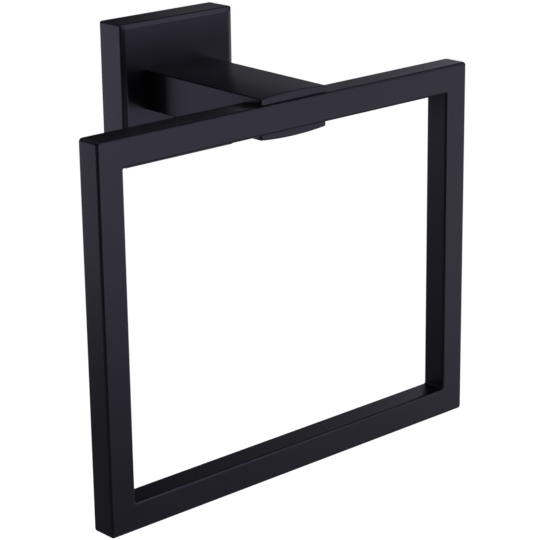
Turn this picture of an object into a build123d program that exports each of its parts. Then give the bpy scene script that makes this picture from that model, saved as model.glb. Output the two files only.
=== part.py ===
from build123d import *
import os
from math import cos, hypot, radians, tan

# A square towel ring for a wall: a hollow base on a hidden bracket, a forked arm and a ring of square bar.
# Sizes are millimetres. X runs to the right along the wall, Y into the wall and Z up.
# The origin is on the wall, at the middle of the base.

# Base cover: a square cup, open to the wall
base_width = 50.0
base_height = 50.0
base_depth = 11.5
base_bevel_width = 1.9
base_bevel_depth = 0.8
base_edge_radius = 0.5
base_face_edge_radius = 0.8
base_corner_radius = 0.8
base_face_corner_radius = 0.4
base_wall = 2.5
base_front_wall = 2.8
base_pocket_radius = 1.2

# Arm: flat sides, cambered above and below, falling a little to the fork at its end
arm_width = 29.5
arm_side_height = 13.8
arm_camber = 0.8
arm_reach = 58.0
arm_rise = 1.2
arm_fall = 1.0
arm_end_corner_radius = 0.9
arm_edge_radius = 0.5
spigot_width = 9.0
spigot_height = 9.0
spigot_corner_radius = 1.0
spigot_shortfall = 0.4
spigot_clearance = 0.1

# Ring: one frame of square bar, its top bar seated in the fork
ring_width = 164.5
ring_height = 130.5
bar_height = 10.0
bar_depth = 9.5
ring_outer_radius = 1.2
ring_inner_radius = 0.5
bar_edge_radius = 0.9
ring_stand_out = 1.0
slot_clearance = 0.05
slot_corner_radius = 0.5

# Wall bracket: a dovetailed plate that the base hooks over
bracket_side_gap = 1.5
bracket_height = 29.0
bracket_thickness = 7.0
bracket_corner_radius = 1.5
dovetail_depth = 5.5
dovetail_angle = 45.0
bracket_relief_radius = 6.5
wall_screw_edge = 7.0
wall_slot_width = 4.5
wall_slot_length = 7.5
head_recess_margin = 2.0
head_recess_depth = 2.0

# Hook rib and screw boss inside the base
hook_width = 14.0
hook_setback = 0.8
boss_width = 10.0
boss_height = 2.5
boss_wall = 1.3
boss_corner_radius = 1.0
seat_clearance = 0.05

# Screws and washers
thread_clearance = 0.05
set_screw_radius = 2.0
set_screw_socket = 2.0
set_screw_socket_depth = 2.0
set_screw_end_chamfer = 0.35
set_screw_tip_radius = 0.3
base_screw_inset = 4.2
base_screw_recess = 0.3
ring_screw_recess = 0.3
ring_screw_bite = 1.2
arm_screw_radius = 2.5
arm_screw_length = 16.0
arm_screw_head_radius = 4.25
arm_screw_head_height = 3.5
arm_screw_head_chamfer = 0.4
arm_screw_socket = 3.0
arm_screw_socket_depth = 1.8
arm_screw_end_chamfer = 0.5
tapped_hole_run_out = 1.5
washer_radius = 7.5
washer_thickness = 1.0
lock_washer_radius = 4.4
lock_washer_thickness = 1.2
lock_washer_gap = 1.0
lock_washer_gap_angle = 20.0
washer_bore_clearance = 0.15

# Places worked out from the sizes above, as distances out from the wall
pocket_depth = base_depth - base_front_wall
spigot_length = base_front_wall - spigot_shortfall
lip_face = base_depth + arm_reach
slot_depth = bar_depth - ring_stand_out
ring_back = lip_face - slot_depth
ring_screw_out = lip_face - slot_depth / 2
washer_out = pocket_depth - washer_thickness
lock_washer_out = washer_out - lock_washer_thickness

# Widths and heights worked out from the sizes above
bracket_width = base_width - 2 * (base_wall + bracket_side_gap)
wall_screw_spacing = bracket_width - 2 * wall_screw_edge
pocket_half_height = base_height / 2 - base_wall
arm_crown = arm_side_height / 2 + arm_camber
arm_slope = arm_fall / arm_reach
arm_start = arm_rise + arm_slope * base_depth
lip_bottom = arm_start - arm_slope * ring_screw_out - arm_crown
ring_middle = bar_height / 2 - ring_height / 2
dovetail_rise = tan(radians(dovetail_angle))
bracket_half_height = bracket_height / 2
bracket_back_half = bracket_half_height - dovetail_depth * dovetail_rise
dovetail_gap = seat_clearance / cos(radians(dovetail_angle))
base_screw_bottom = -base_height / 2 + base_screw_recess

os.makedirs("parts", exist_ok=True)


def bevel_height(out: float) -> float:
    """Height of the bracket's dovetail above the middle, at a distance out from the wall."""
    return bracket_back_half + out * dovetail_rise


# Base cover
with BuildPart() as base_cover:
    with BuildSketch(Plane.XZ):
        RectangleRounded(base_width, base_height, base_corner_radius)
    extrude(amount=base_depth - base_bevel_depth)
    with BuildSketch(Plane.XZ.offset(base_depth - base_bevel_depth)):
        RectangleRounded(base_width, base_height, base_corner_radius)
    with BuildSketch(Plane.XZ.offset(base_depth)):
        RectangleRounded(
            base_width - 2 * base_bevel_width,
            base_height - 2 * base_bevel_width,
            base_face_corner_radius,
        )
    loft(ruled=True)
    bevel_edges = base_cover.edges().filter_by_position(Axis.Y, -base_depth, -base_depth / 2)
    edge_loops = bevel_edges.group_by(Axis.Y)
    fillet(edge_loops[-1], radius=base_edge_radius)
    fillet(base_cover.faces().sort_by(Axis.Y)[0].edges(), radius=base_face_edge_radius)
    with BuildSketch(Plane.XZ):
        RectangleRounded(base_width - 2 * base_wall, base_height - 2 * base_wall, base_pocket_radius)
    extrude(amount=pocket_depth, mode=Mode.SUBTRACT)
    # Window for the arm's spigot
    with BuildSketch(Plane.XZ.offset(pocket_depth)):
        RectangleRounded(
            spigot_width + 2 * spigot_clearance,
            spigot_height + 2 * spigot_clearance,
            spigot_corner_radius,
        )
    extrude(amount=base_front_wall, mode=Mode.SUBTRACT)
    # Hook rib, whose slope lies on the bracket's upper dovetail
    with BuildSketch(Plane.YZ):
        with BuildLine():
            Polyline(
                (-hook_setback, bevel_height(hook_setback) + dovetail_gap),
                (-dovetail_depth, bevel_height(dovetail_depth) + dovetail_gap),
                (-dovetail_depth, pocket_half_height),
                (-hook_setback, pocket_half_height),
                close=True,
            )
        make_face()
    extrude(amount=hook_width / 2, both=True)
    # Boss and tapped hole for the screw under the base
    boss_depth = 2 * (set_screw_radius + thread_clearance + boss_wall)
    with BuildSketch(Plane((0, -base_screw_inset, -pocket_half_height))):
        RectangleRounded(boss_width, boss_depth, boss_corner_radius)
    extrude(amount=boss_height)
    with Locations((0, -base_screw_inset, boss_height - pocket_half_height)):
        Hole(set_screw_radius + thread_clearance, depth=base_wall + boss_height)
base_cover.part.label = "base_cover"
export_step(base_cover.part, "parts/base_cover.step")

# Arm
with BuildPart() as arm:
    with BuildSketch(Plane((0, 0, arm_start), x_dir=(1, 0, 0), z_dir=(0, -1, -arm_slope))):
        with BuildLine():
            right = Line((arm_width / 2, -arm_side_height / 2), (arm_width / 2, arm_side_height / 2))
            left = Line((-arm_width / 2, arm_side_height / 2), (-arm_width / 2, -arm_side_height / 2))
            ThreePointArc(right @ 1, (0, arm_crown), left @ 0)
            ThreePointArc(left @ 1, (0, -arm_crown), right @ 0)
        make_face()
    extrude(amount=lip_face * hypot(1, arm_slope))
    split(bisect_by=Plane.XZ.offset(base_depth), keep=Keep.TOP)
    arm_upright = Axis((0, 0, 0), (0, -arm_slope, 1))
    arm_end = arm.faces().sort_by(Axis.Y)[0]
    fillet(arm_end.edges().filter_by(arm_upright), radius=arm_end_corner_radius)
    arm_rims = arm.edges().filter_by(arm_upright, reverse=True).group_by(Axis.Y)[:-1]
    fillet([edge for group in arm_rims for edge in group], radius=arm_edge_radius)
    # Fork for the ring's top bar
    with BuildSketch(Plane((0, -lip_face, 0), x_dir=(0, 1, 0), z_dir=(1, 0, 0))):
        with Locations((slot_depth + slot_clearance, 0)):
            Rectangle(
                2 * (slot_depth + slot_clearance),
                bar_height + 2 * slot_clearance,
                align=(Align.MAX, Align.CENTER),
            )
    extrude(amount=arm_width / 2, both=True, mode=Mode.SUBTRACT)
    slot_back = arm.faces().filter_by(Axis.Y).sort_by(Axis.Y)[-2]
    fillet(slot_back.edges().filter_by(Axis.X), radius=slot_corner_radius)
    # Spigot that keeps the arm square on the base, and the tapped hole through it
    with BuildSketch(Plane.XZ.offset(base_depth - spigot_length)):
        RectangleRounded(spigot_width, spigot_height, spigot_corner_radius)
    extrude(amount=spigot_length)
    with BuildSketch(Plane.XZ.offset(base_depth - spigot_length)):
        Circle(arm_screw_radius + thread_clearance)
    tapped_end = lock_washer_out + arm_screw_length + tapped_hole_run_out
    extrude(amount=tapped_end - (base_depth - spigot_length), mode=Mode.SUBTRACT)
    # Tapped hole in the lower lip
    with Locations((0, -ring_screw_out, -bar_height / 2 - slot_clearance)):
        Hole(set_screw_radius + thread_clearance, depth=arm_crown)
arm.part.label = "arm"
export_step(arm.part, "parts/arm.step")

# Ring
with BuildPart() as ring:
    with BuildSketch(Plane((0, -ring_back, ring_middle), x_dir=(1, 0, 0), z_dir=(0, -1, 0))):
        RectangleRounded(ring_width, ring_height, ring_outer_radius)
        RectangleRounded(
            ring_width - 2 * bar_height,
            ring_height - 2 * bar_height,
            ring_inner_radius,
            mode=Mode.SUBTRACT,
        )
    extrude(amount=bar_depth)
    rims = ring.faces().filter_by(Axis.Y).edges()
    fillet(rims, radius=bar_edge_radius)
    # Blind seat for the screw in the lower lip
    with BuildSketch(Plane((0, -ring_screw_out, -bar_height / 2))):
        Circle(set_screw_radius + thread_clearance)
    extrude(amount=ring_screw_bite + seat_clearance, mode=Mode.SUBTRACT)
ring.part.label = "ring"
export_step(ring.part, "parts/ring.step")

# Wall bracket
with BuildPart() as wall_bracket:
    with BuildSketch(Plane.XZ):
        RectangleRounded(bracket_width, bracket_height, bracket_corner_radius)
    extrude(amount=bracket_thickness)
    with BuildSketch(Plane.YZ):
        with BuildLine():
            Polyline(
                (0, bracket_back_half),
                (-dovetail_depth, bracket_half_height),
                (-bracket_thickness, bracket_half_height),
                (-bracket_thickness, -bracket_half_height),
                (-dovetail_depth, -bracket_half_height),
                (0, -bracket_back_half),
                close=True,
            )
        make_face()
    extrude(amount=bracket_width / 2, both=True, mode=Mode.INTERSECT)
    # Wall screw slots, and a relief for the head of the arm's screw
    with BuildSketch(Plane.XZ):
        Circle(bracket_relief_radius)
        with GridLocations(wall_screw_spacing, 0, 2, 1):
            SlotOverall(wall_slot_length, wall_slot_width)
    extrude(amount=bracket_thickness, mode=Mode.SUBTRACT)
    with BuildSketch(Plane.XZ.offset(bracket_thickness - head_recess_depth)):
        with GridLocations(wall_screw_spacing, 0, 2, 1):
            SlotOverall(
                wall_slot_length + 2 * head_recess_margin,
                wall_slot_width + 2 * head_recess_margin,
            )
    extrude(amount=head_recess_depth, mode=Mode.SUBTRACT)
wall_bracket.part.label = "wall_bracket"
export_step(wall_bracket.part, "parts/wall_bracket.step")

# Cone-pointed screw under the base, whose point bears on the bracket's lower dovetail
with BuildPart() as base_set_screw:
    base_screw_axis = Axis((0, -base_screw_inset, 0), (0, 0, 1))
    cone_tip = -bevel_height(base_screw_inset) - dovetail_gap
    tip_flat = cone_tip - set_screw_tip_radius * dovetail_rise
    cone_foot = cone_tip - set_screw_radius * dovetail_rise
    with BuildSketch(Plane((0, -base_screw_inset, 0), x_dir=(1, 0, 0), z_dir=(0, -1, 0))):
        with BuildLine():
            Polyline(
                (0, base_screw_bottom),
                (set_screw_radius - set_screw_end_chamfer, base_screw_bottom),
                (set_screw_radius, base_screw_bottom + set_screw_end_chamfer),
                (set_screw_radius, cone_foot),
                (set_screw_tip_radius, tip_flat),
                (0, tip_flat),
                close=True,
            )
        make_face()
    revolve(axis=base_screw_axis)
    with BuildSketch(Plane((0, -base_screw_inset, base_screw_bottom))):
        RegularPolygon(set_screw_socket / 2, 6, major_radius=False)
    extrude(amount=set_screw_socket_depth, mode=Mode.SUBTRACT)
base_set_screw.part.label = "base_set_screw"
export_step(base_set_screw.part, "parts/base_set_screw.step")

# Flat-pointed screw in the lower lip, which locks the ring
with BuildPart() as ring_set_screw:
    ring_screw_axis = Axis((0, -ring_screw_out, 0), (0, 0, 1))
    ring_screw_bottom = lip_bottom + ring_screw_recess
    ring_screw_top = -bar_height / 2 + ring_screw_bite
    with BuildSketch(Plane((0, -ring_screw_out, 0), x_dir=(1, 0, 0), z_dir=(0, -1, 0))):
        with BuildLine():
            Polyline(
                (0, ring_screw_bottom),
                (set_screw_radius - set_screw_end_chamfer, ring_screw_bottom),
                (set_screw_radius, ring_screw_bottom + set_screw_end_chamfer),
                (set_screw_radius, ring_screw_top - set_screw_end_chamfer),
                (set_screw_radius - set_screw_end_chamfer, ring_screw_top),
                (0, ring_screw_top),
                close=True,
            )
        make_face()
    revolve(axis=ring_screw_axis)
    with BuildSketch(Plane((0, -ring_screw_out, ring_screw_bottom))):
        RegularPolygon(set_screw_socket / 2, 6, major_radius=False)
    extrude(amount=set_screw_socket_depth, mode=Mode.SUBTRACT)
ring_set_screw.part.label = "ring_set_screw"
export_step(ring_set_screw.part, "parts/ring_set_screw.step")

# Washer that spans the spigot's window inside the base
with BuildPart() as arm_washer:
    with BuildSketch(Plane.XZ.offset(washer_out)):
        Circle(washer_radius)
        Circle(arm_screw_radius + washer_bore_clearance, mode=Mode.SUBTRACT)
    extrude(amount=washer_thickness)
arm_washer.part.label = "arm_washer"
export_step(arm_washer.part, "parts/arm_washer.step")

# Split lock washer under the screw's head
with BuildPart() as arm_lock_washer:
    with BuildSketch(Plane.XZ.offset(lock_washer_out)):
        Circle(lock_washer_radius)
        Circle(arm_screw_radius + washer_bore_clearance, mode=Mode.SUBTRACT)
        with Locations((0, lock_washer_radius)):
            Rectangle(
                lock_washer_gap,
                2 * lock_washer_radius,
                rotation=lock_washer_gap_angle,
                mode=Mode.SUBTRACT,
            )
    extrude(amount=lock_washer_thickness)
arm_lock_washer.part.label = "arm_lock_washer"
export_step(arm_lock_washer.part, "parts/arm_lock_washer.step")

# Low-headed cap screw that draws the arm onto the base
with BuildPart() as arm_screw:
    head_back = lock_washer_out - arm_screw_head_height
    screw_end = lock_washer_out + arm_screw_length
    with BuildSketch(Plane.XY):
        with BuildLine():
            Polyline(
                (0, -head_back),
                (arm_screw_head_radius - arm_screw_head_chamfer, -head_back),
                (arm_screw_head_radius, -head_back - arm_screw_head_chamfer),
                (arm_screw_head_radius, -lock_washer_out),
                (arm_screw_radius, -lock_washer_out),
                (arm_screw_radius, -screw_end + arm_screw_end_chamfer),
                (arm_screw_radius - arm_screw_end_chamfer, -screw_end),
                (0, -screw_end),
                close=True,
            )
        make_face()
    revolve(axis=Axis.Y)
    with BuildSketch(Plane.XZ.offset(head_back)):
        RegularPolygon(arm_screw_socket / 2, 6, major_radius=False)
    extrude(amount=arm_screw_socket_depth, mode=Mode.SUBTRACT)
arm_screw.part.label = "arm_screw"
export_step(arm_screw.part, "parts/arm_screw.step")
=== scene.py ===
"""Looks of a square towel ring in satin black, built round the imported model."""

import logging
import math
from collections.abc import Sequence
from dataclasses import dataclass
from enum import Enum

import bpy
from mathutils import Matrix, Vector


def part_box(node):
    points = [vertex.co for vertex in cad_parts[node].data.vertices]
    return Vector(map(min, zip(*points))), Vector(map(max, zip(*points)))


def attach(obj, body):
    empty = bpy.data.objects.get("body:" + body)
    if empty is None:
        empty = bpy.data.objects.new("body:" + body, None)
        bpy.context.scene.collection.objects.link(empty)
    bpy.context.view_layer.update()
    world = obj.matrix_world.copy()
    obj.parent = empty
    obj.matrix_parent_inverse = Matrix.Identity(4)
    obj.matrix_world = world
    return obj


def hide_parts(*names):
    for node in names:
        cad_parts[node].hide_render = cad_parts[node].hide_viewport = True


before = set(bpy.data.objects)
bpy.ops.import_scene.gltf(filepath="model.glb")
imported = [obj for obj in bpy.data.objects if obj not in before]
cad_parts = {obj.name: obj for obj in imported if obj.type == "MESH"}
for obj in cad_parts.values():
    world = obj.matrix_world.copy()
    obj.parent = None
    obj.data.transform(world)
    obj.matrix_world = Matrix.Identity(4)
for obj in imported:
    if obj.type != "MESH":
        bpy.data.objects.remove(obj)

LOG = logging.getLogger("towel_ring")
BODY = "root"
MM = 0.001
PICTURE_SIDE = 540
SENSOR_MM = 36.0

# Screws are worked in millimetres on the bench and scaled when they are put in place.
WELD_GAP = 0.0005
SEED_SIZE = 0.1
# A face looks up where its normal rises by more than this.
UPWARD = 0.9
HEXAGON_SIDES = 6

Colour = tuple[float, float, float]
Triple = tuple[float, float, float]
Point = tuple[float, float]
Socket = bpy.types.NodeSocket

RIGHT_TINT: Colour = (0.91, 0.885, 1.0)
LEFT_TINT: Colour = (0.85, 0.82, 1.0)
BACK_TINT: Colour = (0.80, 0.76, 1.0)
UNTINTED: Colour = (1.0, 1.0, 1.0)


class Slot(Enum):
    """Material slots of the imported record."""

    BLACK_COAT = "black_coat"
    PLATED_STEEL = "plated_steel"
    BLACK_STEEL = "black_steel"


class Axis(Enum):
    """Directions in which a screw's point looks."""

    UP = "up"
    OUT_FROM_WALL = "out_from_wall"


class Cut(Enum):
    """What a second solid does to the first."""

    JOIN = "UNION"
    REMOVE = "DIFFERENCE"
    KEEP_SHARED = "INTERSECT"


class Sum(Enum):
    """What a node works out from its values."""

    LARGER = "MAXIMUM"
    PRODUCT = "MULTIPLY"
    UNSIGNED = "ABSOLUTE"


def opaque(colour: Colour) -> tuple[float, float, float, float]:
    """Adds a full alpha to a colour."""
    return (*colour, 1.0)


class Wiring:
    """A node tree with short ways to add and join its nodes."""

    def __init__(self, tree: bpy.types.NodeTree) -> None:
        """Keeps the tree and empties it.

        Args:
            tree: The node tree to wire.
        """
        self.tree = tree
        self.tree.nodes.clear()

    def add(self, kind: str, **settings: object) -> bpy.types.Node:
        """Adds a node.

        Args:
            kind: The node's type name.
            **settings: Properties to set on it.

        Returns:
            The new node.
        """
        node = self.tree.nodes.new(kind)
        for name, value in settings.items():
            setattr(node, name, value)
        return node

    def join(self, source: Socket, target: Socket) -> None:
        """Joins an output to an input."""
        self.tree.links.new(source, target)

    def noise(self, place: Socket, scale: Socket, detail: float, rough: float) -> Socket:
        """Adds a noise texture.

        Args:
            place: The coordinates that it reads.
            scale: How many features there are to a metre.
            detail: How many finer layers it has.
            rough: How strong the finer layers are.

        Returns:
            The noise.
        """
        node = self.add("ShaderNodeTexNoise")
        self.join(place, node.inputs["Vector"])
        self.join(scale, node.inputs["Scale"])
        node.inputs["Detail"].default_value = detail
        node.inputs["Roughness"].default_value = rough
        return node.outputs["Fac"]

    def ranged(self, value: Socket, low: float, high: float) -> Socket:
        """Spreads a mask from 0 to 1 over a range.

        Args:
            value: The mask.
            low: What 0 becomes.
            high: What 1 becomes.

        Returns:
            The ranged value.
        """
        node = self.add("ShaderNodeMapRange")
        self.join(value, node.inputs["Value"])
        node.inputs["To Min"].default_value = low
        node.inputs["To Max"].default_value = high
        return node.outputs["Result"]

    def combine(self, how: Sum, *values: Socket) -> Socket:
        """Works out one value from others.

        Args:
            how: What is worked out.
            *values: What goes into it, in order.

        Returns:
            The outcome.
        """
        node = self.add("ShaderNodeMath", operation=how.value)
        for value, target in zip(values, node.inputs):
            self.join(value, target)
        return node.outputs["Value"]


def new_group(
    name: str, inputs: Sequence[str], output: str
) -> tuple[Wiring, bpy.types.Node, bpy.types.Node]:
    """Starts a shader node group that takes a vector and plain values.

    Args:
        name: The group's name.
        inputs: Names of its value inputs, after the vector.
        output: Name of its value output.

    Returns:
        Its wiring, its input node and its output node.
    """
    tree = bpy.data.node_groups.new(name, "ShaderNodeTree")
    tree.interface.new_socket("Vector", in_out="INPUT", socket_type="NodeSocketVector")
    for title in inputs:
        tree.interface.new_socket(title, in_out="INPUT", socket_type="NodeSocketFloat")
    tree.interface.new_socket(output, in_out="OUTPUT", socket_type="NodeSocketFloat")
    wires = Wiring(tree)
    return wires, wires.add("NodeGroupInput"), wires.add("NodeGroupOutput")


@dataclass(frozen=True)
class Layer:
    """One noise of a blend: the input that gives its scale, and its detail."""

    scale_input: str
    detail: float


class Effects:
    """Node groups that several finishes share."""

    grain_rough: float = 0.5
    cloud_rough: float = 0.55
    cloud_low: float = 0.3
    cloud_high: float = 0.7

    def __init__(self) -> None:
        """Builds each group once."""
        self.grain = self.build_grain()
        self.cloud = self.build_cloud()

    @staticmethod
    def blend(
        wires: Wiring, given: bpy.types.Node, layers: tuple[Layer, Layer], rough: float, share: str
    ) -> Socket:
        """Blends two noises, each with its own scale.

        Args:
            wires: The group's wiring.
            given: The group's input node.
            layers: The two noises.
            rough: How strong the finer layers of both are.
            share: The name of the input that gives the second one's share.

        Returns:
            The blended noise.
        """
        mixed = wires.add("ShaderNodeMix", data_type="FLOAT")
        wires.join(given.outputs[share], mixed.inputs["Factor"])
        for layer, side in zip(layers, ("A", "B")):
            scale = given.outputs[layer.scale_input]
            noise = wires.noise(given.outputs["Vector"], scale, layer.detail, rough)
            wires.join(noise, mixed.inputs[side])
        return mixed.outputs["Result"]

    def build_grain(self) -> bpy.types.NodeTree:
        """Builds the fine skin of a coat or a plating: a small grain on a slower wave.

        Returns:
            The group, which puts out a height from 0 to 1.
        """
        wires, given, result = new_group(
            "skin_grain", ["Grain Scale", "Wave Scale", "Wave Share"], "Height"
        )
        layers = (Layer("Grain Scale", detail=2.0), Layer("Wave Scale", detail=1.0))
        height = self.blend(wires, given, layers, self.grain_rough, "Wave Share")
        wires.join(height, result.inputs["Height"])
        return wires.tree

    def build_cloud(self) -> bpy.types.NodeTree:
        """Builds a slow unevenness of tone with faint finer specks in it.

        Returns:
            The group, which puts out a mask from 0 to 1.
        """
        wires, given, result = new_group(
            "uneven_tone", ["Cloud Scale", "Speck Scale", "Speck Share"], "Mask"
        )
        layers = (Layer("Cloud Scale", detail=3.0), Layer("Speck Scale", detail=2.0))
        spread = wires.add("ShaderNodeMapRange")
        spread.inputs["From Min"].default_value = self.cloud_low
        spread.inputs["From Max"].default_value = self.cloud_high
        mask = self.blend(wires, given, layers, self.cloud_rough, "Speck Share")
        wires.join(mask, spread.inputs["Value"])
        wires.join(spread.outputs["Result"], result.inputs["Mask"])
        return wires.tree


@dataclass(frozen=True)
class Finish:
    """One surface finish: two near tones, a range of roughness and a fine skin.

    Scales are features to a metre, and the bump's height is in metres.
    """

    name: str
    slot: Slot
    dark: Colour
    light: Colour
    rough_low: float
    rough_high: float
    metallic: float
    specular: float
    specular_tint: Colour
    grain_scale: float
    wave_scale: float
    wave_share: float
    bump_height: float
    cloud_scale: float
    speck_scale: float
    speck_share: float
    stretch: Triple = (1.0, 1.0, 1.0)

    def material(self, effects: Effects) -> bpy.types.Material:
        """Builds the finish's material.

        Args:
            effects: The shared node groups.

        Returns:
            The material.
        """
        made = bpy.data.materials.new(self.name)
        made.use_nodes = True
        wires = Wiring(made.node_tree)
        place = wires.add("ShaderNodeTexCoord").outputs["Object"]
        drawn = wires.add("ShaderNodeMapping")
        drawn.inputs["Scale"].default_value = self.stretch
        wires.join(place, drawn.inputs["Vector"])

        skin = wires.add("ShaderNodeGroup", node_tree=effects.grain)
        wires.join(drawn.outputs["Vector"], skin.inputs["Vector"])
        skin.inputs["Grain Scale"].default_value = self.grain_scale
        skin.inputs["Wave Scale"].default_value = self.wave_scale
        skin.inputs["Wave Share"].default_value = self.wave_share

        tone = wires.add("ShaderNodeGroup", node_tree=effects.cloud)
        wires.join(place, tone.inputs["Vector"])
        tone.inputs["Cloud Scale"].default_value = self.cloud_scale
        tone.inputs["Speck Scale"].default_value = self.speck_scale
        tone.inputs["Speck Share"].default_value = self.speck_share
        mask = tone.outputs["Mask"]

        colour = wires.add("ShaderNodeMix", data_type="RGBA")
        wires.join(mask, colour.inputs["Factor"])
        colour.inputs["A"].default_value = opaque(self.dark)
        colour.inputs["B"].default_value = opaque(self.light)

        bump = wires.add("ShaderNodeBump")
        bump.inputs["Distance"].default_value = self.bump_height
        wires.join(skin.outputs["Height"], bump.inputs["Height"])

        surface = wires.add("ShaderNodeBsdfPrincipled")
        surface.inputs["Metallic"].default_value = self.metallic
        surface.inputs["Specular IOR Level"].default_value = self.specular
        surface.inputs["Specular Tint"].default_value = opaque(self.specular_tint)
        rough = wires.ranged(mask, self.rough_low, self.rough_high)
        wires.join(colour.outputs["Result"], surface.inputs["Base Color"])
        wires.join(rough, surface.inputs["Roughness"])
        wires.join(bump.outputs["Normal"], surface.inputs["Normal"])
        output = wires.add("ShaderNodeOutputMaterial")
        wires.join(surface.outputs["BSDF"], output.inputs["Surface"])
        return made


SATIN_BLACK = Finish(
    name="satin_black_coat",
    slot=Slot.BLACK_COAT,
    dark=(0.0030, 0.0028, 0.0040),
    light=(0.0040, 0.0037, 0.0052),
    rough_low=0.30,
    rough_high=0.35,
    metallic=0.0,
    specular=0.36,
    specular_tint=(0.79, 0.75, 1.0),
    grain_scale=4200.0,
    wave_scale=700.0,
    wave_share=0.45,
    bump_height=0.000012,
    cloud_scale=38.0,
    speck_scale=900.0,
    speck_share=0.35,
)
ZINC_PLATE = Finish(
    name="zinc_plate",
    slot=Slot.PLATED_STEEL,
    dark=(0.50, 0.51, 0.51),
    light=(0.66, 0.66, 0.64),
    rough_low=0.30,
    rough_high=0.46,
    metallic=1.0,
    specular=0.5,
    specular_tint=UNTINTED,
    grain_scale=2600.0,
    wave_scale=320.0,
    wave_share=0.35,
    bump_height=0.00002,
    cloud_scale=160.0,
    speck_scale=1500.0,
    speck_share=0.45,
    stretch=(0.08, 1.0, 1.0),
)
BLACK_OXIDE = Finish(
    name="black_oxide",
    slot=Slot.BLACK_STEEL,
    dark=(0.030, 0.030, 0.033),
    light=(0.060, 0.059, 0.062),
    rough_low=0.32,
    rough_high=0.50,
    metallic=1.0,
    specular=0.5,
    specular_tint=UNTINTED,
    grain_scale=3200.0,
    wave_scale=500.0,
    wave_share=0.3,
    bump_height=0.000015,
    cloud_scale=300.0,
    speck_scale=2200.0,
    speck_share=0.5,
)


class Dresser:
    """Builds each finish once and puts it on pieces."""

    def __init__(self) -> None:
        """Builds the shared node groups and an empty store of materials."""
        self.effects = Effects()
        self.made: dict[str, bpy.types.Material] = {}

    def dress(self, piece: bpy.types.Object, finish: Finish) -> None:
        """Gives a piece one finish all over.

        Args:
            piece: The piece or CAD node.
            finish: The finish that it gets.
        """
        if finish.name not in self.made:
            self.made[finish.name] = finish.material(self.effects)
        piece.data.materials.clear()
        piece.data.materials.append(self.made[finish.name])
        LOG.info("%s is finished in %s", piece.name, finish.name)


class Bench:
    """Ways of working on one mesh at a time with Blender's operators."""

    @staticmethod
    def clear() -> None:
        """Deselects everything."""
        bpy.ops.object.select_all(action="DESELECT")

    @staticmethod
    def hold(piece: bpy.types.Object) -> None:
        """Selects one piece alone and makes it the active one.

        Args:
            piece: The piece.
        """
        Bench.clear()
        piece.select_set(True)
        bpy.context.view_layer.objects.active = piece

    @staticmethod
    def profile(name: str, points: Sequence[Point]) -> bpy.types.Object:
        """Draws a line in the XZ plane by pulling one vertex from point to point.

        Args:
            name: The new piece's name.
            points: Distances from the axis and heights, in order.

        Returns:
            The line as a mesh object.
        """
        Bench.clear()
        bpy.ops.mesh.primitive_plane_add(size=SEED_SIZE)
        piece = bpy.context.object
        piece.name = name
        bpy.ops.object.mode_set(mode="EDIT")
        bpy.ops.mesh.select_mode(type="VERT")
        bpy.ops.mesh.select_all(action="SELECT")
        bpy.ops.mesh.merge(type="CENTER")
        last = (0.0, 0.0)
        for index, (across, up) in enumerate(points):
            step = (across - last[0], 0.0, up - last[1])
            if index == 0:
                bpy.ops.transform.translate(value=step)
            else:
                bpy.ops.mesh.extrude_region_move(TRANSFORM_OT_translate={"value": step})
            last = (across, up)
        bpy.ops.object.mode_set(mode="OBJECT")
        return piece

    @staticmethod
    def turned(name: str, points: Sequence[Point], steps: int) -> bpy.types.Object:
        """Turns a profile about Z into a closed solid.

        Args:
            name: The new piece's name.
            points: The profile, whose ends lie on the axis.
            steps: How many steps a full turn has.

        Returns:
            The turned piece.
        """
        piece = Bench.profile(name, points)
        Bench.hold(piece)
        bpy.ops.object.mode_set(mode="EDIT")
        bpy.ops.mesh.select_all(action="SELECT")
        bpy.ops.mesh.spin(steps=steps, angle=math.tau, center=(0, 0, 0), axis=(0, 0, 1))
        Bench.close_up()
        return piece

    @staticmethod
    def close_up() -> None:
        """Merges doubles, turns the faces outwards and leaves edit mode."""
        bpy.ops.mesh.select_all(action="SELECT")
        bpy.ops.mesh.remove_doubles(threshold=WELD_GAP)
        bpy.ops.mesh.normals_make_consistent(inside=False)
        bpy.ops.object.mode_set(mode="OBJECT")

    @staticmethod
    def cut(piece: bpy.types.Object, tool: bpy.types.Object, how: Cut) -> None:
        """Changes one solid by a second, and removes the second.

        Args:
            piece: The solid that is changed.
            tool: The solid that changes it.
            how: What the second does to the first.
        """
        Bench.hold(piece)
        boolean = piece.modifiers.new(how.name.lower(), "BOOLEAN")
        boolean.operation = how.value
        boolean.solver = "EXACT"
        boolean.object = tool
        bpy.ops.object.modifier_apply(modifier=boolean.name)
        bpy.data.objects.remove(tool)


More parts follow.
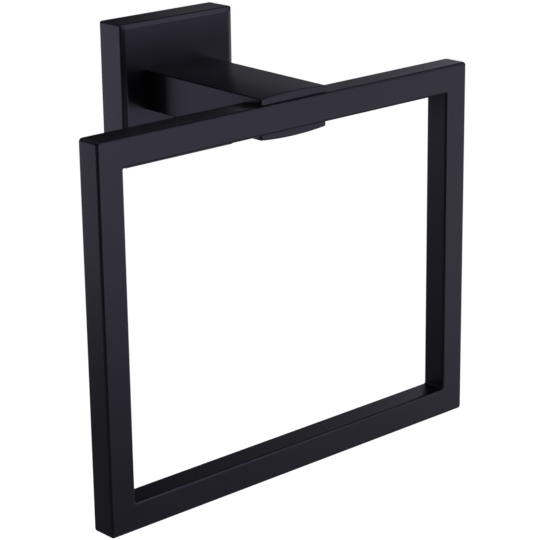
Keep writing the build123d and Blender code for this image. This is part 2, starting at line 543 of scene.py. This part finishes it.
@dataclass
class ThreadedScrew:
    """A screw with a real thread and a hexagon socket, which stands for a CAD node.

    Sizes are millimetres. Shares are parts of the pitch, or of the socket's width. A spare is
    how far a solid runs past the one that it meets, so that no two faces lie in one plane.
    """

    node: str
    axis: Axis
    finish: Finish
    radius: float
    pitch: float
    thread_depth: float
    end_chamfer: float
    socket_width: float
    socket_depth: float
    cone_point: float = 0.0
    tip_radius: float = 0.0
    head_radius: float = 0.0
    head_height: float = 0.0
    head_chamfer: float = 0.0
    steps: int = 28
    flank_share: float = 0.36
    crest_share: float = 0.14
    spare_turns: int = 2
    outline_spare: float = 0.05
    end_spare: float = 0.4
    head_spare: float = 0.5
    tool_spare: float = 1.0
    drill_rim_share: float = 0.07
    drill_depth_share: float = 0.16
    smooth_degrees: float = 32.0

    def length(self) -> float:
        """Measures the node along the screw's axis.

        Returns:
            Its whole length, in millimetres.
        """
        low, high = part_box(self.node)
        size = high - low
        return (size.z if self.axis is Axis.UP else size.y) / MM

    def thread(self, foot: float, top: float) -> bpy.types.Object:
        """Winds the thread as one closed solid, a little longer than it has to be.

        Args:
            foot: Where the thread starts.
            top: Where it ends.

        Returns:
            The threaded core.
        """
        root = self.radius - self.thread_depth
        flank = self.pitch * self.flank_share
        crest = self.pitch * self.crest_share
        start = foot - self.spare_turns * self.pitch
        core = Bench.profile(
            f"{self.node}_threaded",
            [
                (root, start),
                (self.radius, start + flank),
                (self.radius, start + flank + crest),
                (root, start + 2 * flank + crest),
                (root, start + self.pitch),
            ],
        )
        Bench.hold(core)
        wind = core.modifiers.new("wind", "SCREW")
        wind.axis = "Z"
        wind.screw_offset = self.pitch
        wind.iterations = math.ceil((top - foot) / self.pitch) + 2 * self.spare_turns
        wind.steps = wind.render_steps = self.steps
        wind.use_merge_vertices = True
        wind.merge_threshold = WELD_GAP
        bpy.ops.object.modifier_apply(modifier=wind.name)
        bpy.ops.object.mode_set(mode="EDIT")
        for height, sense in ((foot, -1.0), (top, 1.0)):
            bpy.ops.mesh.select_all(action="SELECT")
            bpy.ops.mesh.bisect(
                plane_co=(0, 0, height), plane_no=(0, 0, sense), use_fill=True, clear_outer=True
            )
        Bench.close_up()
        return core

    def envelope(self, length: float) -> list[Point]:
        """Gives the outline that the threaded core is turned down to.

        Args:
            length: The length of the threaded part.

        Returns:
            The profile, from the foot to the tip.
        """
        spare = self.outline_spare
        wide = self.radius + spare
        narrow = self.radius - self.end_chamfer
        if self.cone_point:
            reach = (wide - self.tip_radius) * self.cone_point
            tip = [(wide, length - reach), (self.tip_radius, length), (0.0, length)]
        else:
            tip = [(wide, length - self.end_chamfer - spare), (narrow, length), (0.0, length)]
        if self.head_radius:
            return [(0.0, -self.tool_spare), (wide, -self.tool_spare), *tip]
        return [(0.0, 0.0), (narrow, 0.0), (wide, self.end_chamfer + spare), *tip]

    def head(self) -> bpy.types.Object:
        """Turns the cap head, below the shank.

        Returns:
            The head.
        """
        return Bench.turned(
            f"{self.node}_head",
            [
                (0.0, -self.head_height),
                (self.head_radius - self.head_chamfer, -self.head_height),
                (self.head_radius, self.head_chamfer - self.head_height),
                (self.head_radius, 0.0),
                (0.0, 0.0),
            ],
            2 * self.steps,
        )

    def socket(self, foot: float) -> bpy.types.Object:
        """Makes the hexagon that cuts the socket, with a drilled cone at its end.

        Args:
            foot: The height of the face that it is cut in.

        Returns:
            The cutting tool.
        """
        Bench.clear()
        corner_radius = self.socket_width / math.sqrt(3.0)
        bpy.ops.mesh.primitive_cylinder_add(
            vertices=HEXAGON_SIDES,
            radius=corner_radius,
            depth=self.socket_depth + self.tool_spare,
            location=(0, 0, foot + (self.socket_depth - self.tool_spare) / 2),
        )
        tool = bpy.context.object
        bpy.ops.object.transform_apply(location=True, rotation=True, scale=True)
        bpy.ops.object.mode_set(mode="EDIT")
        bpy.ops.mesh.select_mode(type="FACE")
        bpy.ops.mesh.select_all(action="DESELECT")
        bpy.ops.object.mode_set(mode="OBJECT")
        for face in tool.data.polygons:
            face.select = face.normal.z > UPWARD
        bpy.ops.object.mode_set(mode="EDIT")
        drilled = (0, 0, self.socket_width * self.drill_depth_share)
        bpy.ops.mesh.inset(thickness=self.socket_width * self.drill_rim_share)
        bpy.ops.mesh.extrude_region_move(TRANSFORM_OT_translate={"value": drilled})
        bpy.ops.mesh.merge(type="CENTER")
        Bench.close_up()
        return tool

    def place(self) -> Matrix:
        """Finds the node's own place for the screw.

        Returns:
            The move from the bench, where the foot is at the origin.
        """
        low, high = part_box(self.node)
        middle = (low + high) / 2
        if self.axis is Axis.UP:
            return Matrix.Translation((middle.x, middle.y, low.z))
        turn = Matrix.Rotation(math.radians(90.0), 4, "X")
        return Matrix.Translation((middle.x, high.y - self.head_height * MM, middle.z)) @ turn

    def build(self, dresser: Dresser) -> None:
        """Builds the screw, puts it in its node's place and dresses it.

        Args:
            dresser: Gives the finish.
        """
        length = self.length() - self.head_height
        foot = -self.head_spare if self.head_radius else -self.end_spare
        piece = self.thread(foot, length + self.end_spare)
        outline = Bench.turned(f"{self.node}_outline", self.envelope(length), 2 * self.steps)
        Bench.cut(piece, outline, Cut.KEEP_SHARED)
        if self.head_radius:
            Bench.cut(piece, self.head(), Cut.JOIN)
        Bench.cut(piece, self.socket(-self.head_height), Cut.REMOVE)
        piece.matrix_world = self.place() @ Matrix.Scale(MM, 4)
        Bench.hold(piece)
        bpy.ops.object.transform_apply(location=True, rotation=True, scale=True)
        bpy.ops.object.shade_smooth_by_angle(angle=math.radians(self.smooth_degrees))
        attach(piece, BODY)
        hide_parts(self.node)
        dresser.dress(piece, self.finish)


@dataclass
class SetScrew(ThreadedScrew):
    """A short headless screw, put in from below."""

    axis: Axis = Axis.UP
    finish: Finish = BLACK_OXIDE
    radius: float = 2.0
    pitch: float = 0.7
    thread_depth: float = 0.43
    end_chamfer: float = 0.35
    socket_width: float = 2.0
    socket_depth: float = 2.0


@dataclass
class CapScrew(ThreadedScrew):
    """A low-headed cap screw, put in from the wall's side."""

    axis: Axis = Axis.OUT_FROM_WALL
    finish: Finish = ZINC_PLATE
    radius: float = 2.5
    pitch: float = 0.8
    thread_depth: float = 0.49
    end_chamfer: float = 0.5
    socket_width: float = 3.0
    socket_depth: float = 1.8
    head_radius: float = 4.25
    head_height: float = 3.5
    head_chamfer: float = 0.4
    steps: int = 32


@dataclass
class WallBase:
    """The base: its hollow cover, the bracket behind it and the cone-pointed screw under it."""

    cover: str = "base_cover"
    bracket: str = "wall_bracket"
    screw: str = "base_set_screw"
    screw_cone: float = 1.0
    screw_tip_radius: float = 0.3

    def build(self, dresser: Dresser) -> None:
        """Dresses the cover and the bracket and makes the screw.

        Args:
            dresser: Gives the finishes.
        """
        dresser.dress(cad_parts[self.cover], SATIN_BLACK)
        dresser.dress(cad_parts[self.bracket], ZINC_PLATE)
        SetScrew(
            self.screw, cone_point=self.screw_cone, tip_radius=self.screw_tip_radius
        ).build(dresser)


@dataclass
class ForkedArm:
    """The arm, the screw and washers that hold it to the base, and the ring's locking screw."""

    arm: str = "arm"
    arm_screw: str = "arm_screw"
    ring_screw: str = "ring_set_screw"
    washers: tuple[str, ...] = ("arm_washer", "arm_lock_washer")

    def build(self, dresser: Dresser) -> None:
        """Dresses the arm and washers and makes both screws.

        Args:
            dresser: Gives the finishes.
        """
        dresser.dress(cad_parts[self.arm], SATIN_BLACK)
        for washer in self.washers:
            dresser.dress(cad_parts[washer], ZINC_PLATE)
        CapScrew(self.arm_screw).build(dresser)
        SetScrew(self.ring_screw).build(dresser)


@dataclass
class TowelFrame:
    """The ring itself, one frame of bar."""

    ring: str = "ring"

    def build(self, dresser: Dresser) -> None:
        """Dresses the ring."""
        dresser.dress(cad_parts[self.ring], SATIN_BLACK)


@dataclass
class View:
    """The photograph's viewpoint. Angles are radians, and lengths are metres."""

    azimuth: float = 0.7391367
    elevation: float = 0.3076862
    roll: float = -0.0136726
    focal_pixels: float = 2042.117
    distance: float = 0.7035383
    aside: float = 0.0112222
    lift: float = -0.0099859
    aim: Triple = (0.0, -0.040, -0.050)
    nearest: float = 0.01
    furthest: float = 50.0

    def axes(self) -> tuple[Vector, Vector, Vector]:
        """Works out the directions of the view before its roll.

        Returns:
            The level right, down and forward directions.
        """
        turn, tip = self.azimuth, self.elevation
        level = math.cos(tip)
        forward = Vector((math.sin(turn) * level, math.cos(turn) * level, -math.sin(tip)))
        right = Vector((math.cos(turn), -math.sin(turn), 0.0))
        return right, forward.cross(right), forward

    def build(self) -> None:
        """Makes the camera and sets it as the scene's own."""
        right, down, forward = self.axes()
        stand = Vector(self.aim) - forward * self.distance
        spot = stand + right * self.aside - down * self.lift
        level, slope = math.cos(self.roll), math.sin(self.roll)
        across = right * level - down * slope
        upright = -(right * slope + down * level)
        lens = bpy.data.cameras.new("view")
        lens.sensor_width = SENSOR_MM
        lens.lens = self.focal_pixels * SENSOR_MM / PICTURE_SIDE
        lens.clip_start, lens.clip_end = self.nearest, self.furthest
        camera = bpy.data.objects.new("view", lens)
        bpy.context.scene.collection.objects.link(camera)
        turned = Matrix((across, upright, -forward)).transposed().to_4x4()
        camera.matrix_world = Matrix.Translation(spot) @ turned
        bpy.context.scene.camera = camera


@dataclass(frozen=True)
class SoftBox:
    """A soft rectangular lamp.

    It is placed by its bearing from the camera round to the right and by its rise. Both are
    degrees, and so are its width and height as the object sees them. Its distance is metres.
    """

    name: str
    bearing: float
    rise: float
    wide: float
    tall: float
    radiance: float
    distance: float = 1.2
    colour: Colour = RIGHT_TINT


@dataclass
class Studio:
    """Floor, lamps and surroundings. Lengths are metres.

    In the gloss the floor turns white between white_from and white_to behind the object, and
    dim again between band_from and band_to on either side.
    """

    view: View
    floor_drop: float = 0.90
    floor_side: float = 24.0
    floor_colour: Colour = (0.80, 0.80, 0.80)
    floor_lift: float = 0.1
    white_from: float = 1.0
    white_to: float = 1.5
    band_from: float = 1.9
    band_to: float = 2.7
    room: Colour = (0.018, 0.017, 0.023)
    white: Colour = (1.0, 1.0, 1.0)
    middle: Triple = (0.0, -0.035, -0.05)
    boxes: tuple[SoftBox, ...] = (
        SoftBox("right_box", bearing=59.0, rise=-3.0, wide=36.0, tall=30.0, radiance=2.4),
        SoftBox("far_right_box", bearing=97.0, rise=-10.0, wide=36.0, tall=28.0, radiance=1.0),
        SoftBox("high_right_box", bearing=84.0, rise=26.0, wide=28.0, tall=14.0, radiance=2.9),
        SoftBox(
            "left_box", bearing=253.0, rise=-6.0, wide=26.0, tall=24.0,
            radiance=1.45, distance=0.8, colour=LEFT_TINT,
        ),
        SoftBox(
            "high_left_box", bearing=281.0, rise=7.0, wide=22.0, tall=14.0,
            radiance=0.8, distance=0.8, colour=LEFT_TINT,
        ),
        SoftBox("low_back_box", bearing=175.0, rise=15.0, wide=18.0, tall=8.0, radiance=0.35),
        SoftBox(
            "high_back_box", bearing=161.0, rise=26.0, wide=17.0, tall=28.0,
            radiance=1.2, colour=BACK_TINT,
        ),
        SoftBox(
            "wall_side_box", bearing=222.0, rise=12.0, wide=34.0, tall=40.0,
            radiance=1.5, distance=1.0,
        ),
        SoftBox("left_fill_box", bearing=314.0, rise=-14.0, wide=30.0, tall=24.0, radiance=0.5),
        SoftBox("right_fill_box", bearing=134.0, rise=-14.0, wide=30.0, tall=24.0, radiance=0.8),
        SoftBox(
            "high_box", bearing=0.0, rise=76.0, wide=56.0, tall=48.0,
            radiance=1.2, distance=0.8,
        ),
    )

    def level_axes(self) -> tuple[Vector, Vector]:
        """Gives the level directions to the camera's right and towards the camera."""
        right, _, forward = self.view.axes()
        return right, -Vector((forward.x, forward.y, 0.0)).normalized()

    @staticmethod
    def reach(wires: Wiring, place: Socket, way: Vector) -> Socket:
        """Measures how far a place lies along a direction.

        Args:
            wires: The tree to wire in.
            place: The place.
            way: The direction, one unit long.

        Returns:
            The distance along it.
        """
        dot = wires.add("ShaderNodeVectorMath", operation="DOT_PRODUCT")
        dot.inputs[1].default_value = way
        wires.join(place, dot.inputs[0])
        return dot.outputs["Value"]

    @staticmethod
    def fade(wires: Wiring, distance: Socket, nothing: float, full: float) -> Socket:
        """Makes a mask that goes smoothly from nothing to one.

        Args:
            wires: The tree to wire in.
            distance: The distance that it follows.
            nothing: The distance at which it is nothing.
            full: The distance at which it is one.

        Returns:
            The mask.
        """
        soft = wires.add("ShaderNodeMapRange", interpolation_type="SMOOTHSTEP")
        soft.inputs["From Min"].default_value = nothing
        soft.inputs["From Max"].default_value = full
        wires.join(distance, soft.inputs["Value"])
        return soft.outputs["Result"]

    def floor_glow(self, wires: Wiring) -> Socket:
        """Works out how white the floor looks.

        The camera sees it white everywhere. The gloss sees it white in a band behind the
        object, and dimmer elsewhere.

        Args:
            wires: The floor material's wiring.

        Returns:
            The strength of its glow.
        """
        path = wires.add("ShaderNodeLightPath").outputs
        mirrored = wires.combine(Sum.LARGER, path["Is Glossy Ray"], path["Is Transmission Ray"])
        right, toward = self.level_axes()
        place = wires.add("ShaderNodeTexCoord").outputs["Object"]
        behind = self.reach(wires, place, -toward)
        aside = wires.combine(Sum.UNSIGNED, self.reach(wires, place, right))
        band = wires.combine(
            Sum.PRODUCT,
            self.fade(wires, behind, self.white_from, self.white_to),
            self.fade(wires, aside, self.band_to, self.band_from),
        )
        pale = wires.ranged(band, self.floor_lift, 1.0)
        lift = wires.combine(Sum.PRODUCT, mirrored, pale)
        return wires.combine(Sum.LARGER, path["Is Camera Ray"], lift)

    def floor(self) -> None:
        """Lays the pale floor well under the object."""
        Bench.clear()
        bpy.ops.mesh.primitive_plane_add(size=self.floor_side, location=(0, 0, -self.floor_drop))
        floor = bpy.context.object
        floor.name = "floor"
        made = bpy.data.materials.new("pale_floor")
        made.use_nodes = True
        wires = Wiring(made.node_tree)
        matt = wires.add("ShaderNodeBsdfDiffuse")
        matt.inputs["Color"].default_value = opaque(self.floor_colour)
        glow = wires.add("ShaderNodeEmission")
        wires.join(self.floor_glow(wires), glow.inputs["Strength"])
        both = wires.add("ShaderNodeAddShader")
        wires.join(matt.outputs[0], both.inputs[0])
        wires.join(glow.outputs[0], both.inputs[1])
        wires.join(both.outputs[0], wires.add("ShaderNodeOutputMaterial").inputs["Surface"])
        floor.data.materials.append(made)

    def lamp(self, box: SoftBox) -> None:
        """Hangs one soft lamp, which looks at the object.

        Args:
            box: Its place, size and strength.
        """
        right, toward = self.level_axes()
        turn, rise = math.radians(box.bearing), math.radians(box.rise)
        level = toward * math.cos(turn) + right * math.sin(turn)
        way = level * math.cos(rise) + Vector((0, 0, math.sin(rise)))
        light = bpy.data.lights.new(box.name, "AREA")
        light.shape = "RECTANGLE"
        light.size = 2 * box.distance * math.tan(math.radians(box.wide / 2))
        light.size_y = 2 * box.distance * math.tan(math.radians(box.tall / 2))
        light.energy = box.radiance * math.pi * light.size * light.size_y
        light.color = box.colour
        lamp = bpy.data.objects.new(box.name, light)
        bpy.context.scene.collection.objects.link(lamp)
        spot = Vector(self.middle) + way * box.distance
        faced = way.to_track_quat("Z", "Y").to_matrix().to_4x4()
        lamp.matrix_world = Matrix.Translation(spot) @ faced

    def surround(self) -> bpy.types.World:
        """Makes the room, which is white to the camera and dark otherwise.

        Returns:
            The room.
        """
        world = bpy.data.worlds.new("room")
        world.use_nodes = True
        wires = Wiring(world.node_tree)
        shade = wires.add("ShaderNodeMix", data_type="RGBA")
        shade.inputs["A"].default_value = opaque(self.room)
        shade.inputs["B"].default_value = opaque(self.white)
        path = wires.add("ShaderNodeLightPath").outputs
        wires.join(path["Is Camera Ray"], shade.inputs["Factor"])
        air = wires.add("ShaderNodeBackground")
        wires.join(shade.outputs["Result"], air.inputs["Color"])
        wires.join(air.outputs[0], wires.add("ShaderNodeOutputWorld").inputs["Surface"])
        return world

    def build(self) -> None:
        """Sets the room, the floor and the lamps."""
        scene = bpy.context.scene
        scene.view_settings.view_transform = "Standard"
        scene.world = self.surround()
        self.floor()
        for box in self.boxes:
            self.lamp(box)
            LOG.info("%s hung", box.name)


def main() -> None:
    """Builds the object's looks and the studio."""
    logging.basicConfig(level=logging.INFO, format="%(name)s: %(message)s")
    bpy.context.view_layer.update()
    dresser = Dresser()
    for part in (WallBase(), ForkedArm(), TowelFrame()):
        part.build(dresser)
    view = View()
    view.build()
    Studio(view).build()


if __name__ == "__main__":
    main()
